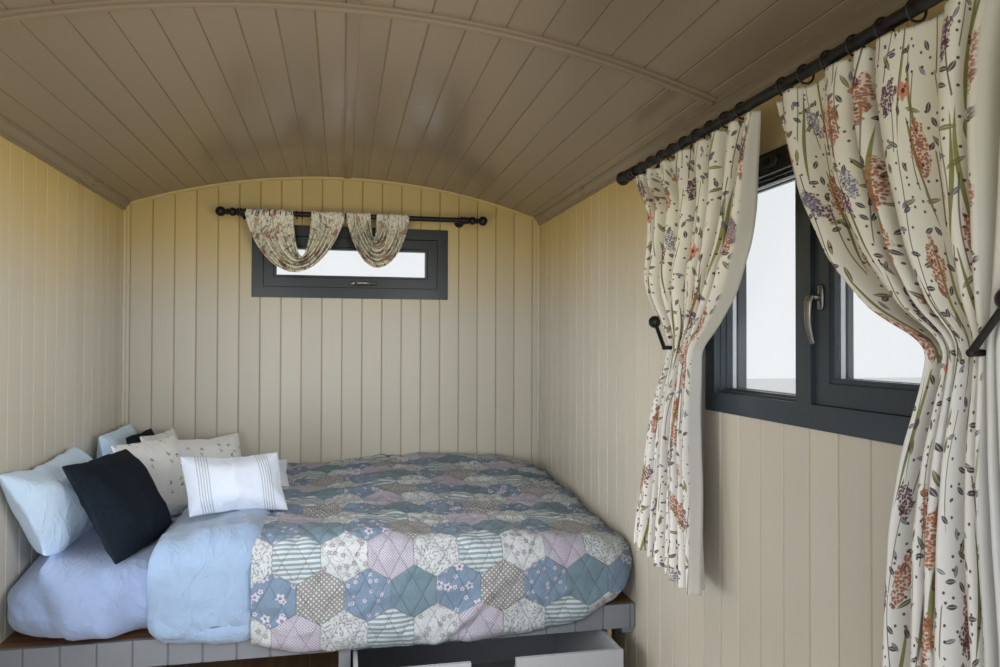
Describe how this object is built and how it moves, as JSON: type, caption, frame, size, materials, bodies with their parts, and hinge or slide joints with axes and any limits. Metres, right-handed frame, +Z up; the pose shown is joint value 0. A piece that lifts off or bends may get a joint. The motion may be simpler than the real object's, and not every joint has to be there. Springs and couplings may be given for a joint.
{
  "type": "shepherds hut sleeping end",
  "caption": "Sleeping end of a shepherds hut: barrel roofed bay with a boarded end wall, windows, curtains and a built-in bed over a sliding drawer.",
  "frame": {"origin": "bottom centre of the bay's box, on the underside of the floor bearers", "axes": "+X to the right facing the end wall, +Y towards the end wall, +Z up"},
  "size_m": [2.4082, 3.56, 2.6298],
  "materials": {
    "raw_timber": "sawn softwood",
    "floor_timber": "oiled boards",
    "wall_paint": "satin cream paint on tongue and groove boards",
    "outside_paint": "satin grey green paint on tongue and groove boards",
    "ceiling_paint": "satin taupe paint on tongue and groove boards",
    "cream_paint": "satin cream paint",
    "roof_steel": "coated corrugated steel",
    "window_paint": "satin dark blue grey paint",
    "window_glass": "clear double glazing",
    "black_metal": "black lacquer",
    "black_wood": "satin black stain",
    "floral_linen": "printed linen weave",
    "brown_timber": "varnished softwood",
    "bed_paint": "satin cream paint",
    "drawer_paint": "satin white paint",
    "white_cotton": "plain cotton",
    "patchwork_cotton": "quilted patchwork cotton",
    "charcoal_cotton": "plain cotton",
    "print_cotton": "printed cotton"
  },
  "bodies": {
    "root": {"floor_bearers": "raw_timber", "floor_joists": "raw_timber", "floor_boards": "floor_timber", "end_wall_lining": "wall_paint", "end_wall_frame": "raw_timber", "end_wall_cladding": "outside_paint", "left_wall_lining": "wall_paint", "left_wall_frame": "raw_timber", "left_wall_cladding": "outside_paint", "right_wall_lining": "wall_paint", "right_wall_frame": "raw_timber", "right_wall_cladding": "outside_paint", "corner_boards": "outside_paint", "ceiling_boards": "ceiling_paint", "roof_ribs": "raw_timber", "roof_sheet": "roof_steel", "eaves_fascias": "outside_paint", "verge_board": "outside_paint", "crown_strip": "ceiling_paint", "cross_bead": "cream_paint", "eaves_cornices": "cream_paint", "end_wall_beads": "wall_paint", "window_casings": "window_paint", "end_window_frame": "window_paint", "end_window_sash": "window_paint", "end_window_glass": "window_glass", "end_window_handle": "black_metal", "side_window_frame": "window_paint", "side_window_sash": "window_paint", "side_window_glass": "window_glass", "side_window_handle": "black_metal", "trickle_vent": "black_metal", "end_pole": "black_wood", "end_pole_brackets": "black_wood", "end_valance": "floral_linen", "side_pole": "black_wood", "side_pole_brackets": "black_wood", "curtain_rings": "black_wood", "curtain_left": "floral_linen", "curtain_right": "floral_linen", "tieback_hooks": "black_wood", "bed_platform": "brown_timber", "bed_ledgers": "bed_paint", "bed_rail": "bed_paint", "bed_divider": "bed_paint", "drawer_support": "raw_timber", "mattress": "white_cotton", "quilt": "patchwork_cotton", "duvet_fold": "white_cotton", "pillows": "white_cotton", "charcoal_cushions": "charcoal_cotton", "print_cushions": "print_cotton", "lumbar_cushion": "print_cotton"},
    "drawer": {"drawer_front": "drawer_paint", "drawer_box": "drawer_paint"}
  },
  "joints": [
    {"name": "drawer_slide", "type": "slide", "parent": "root", "child": "drawer", "axis": [0, -1, 0], "range_m": [-0.165, 0.4]}
  ]
}
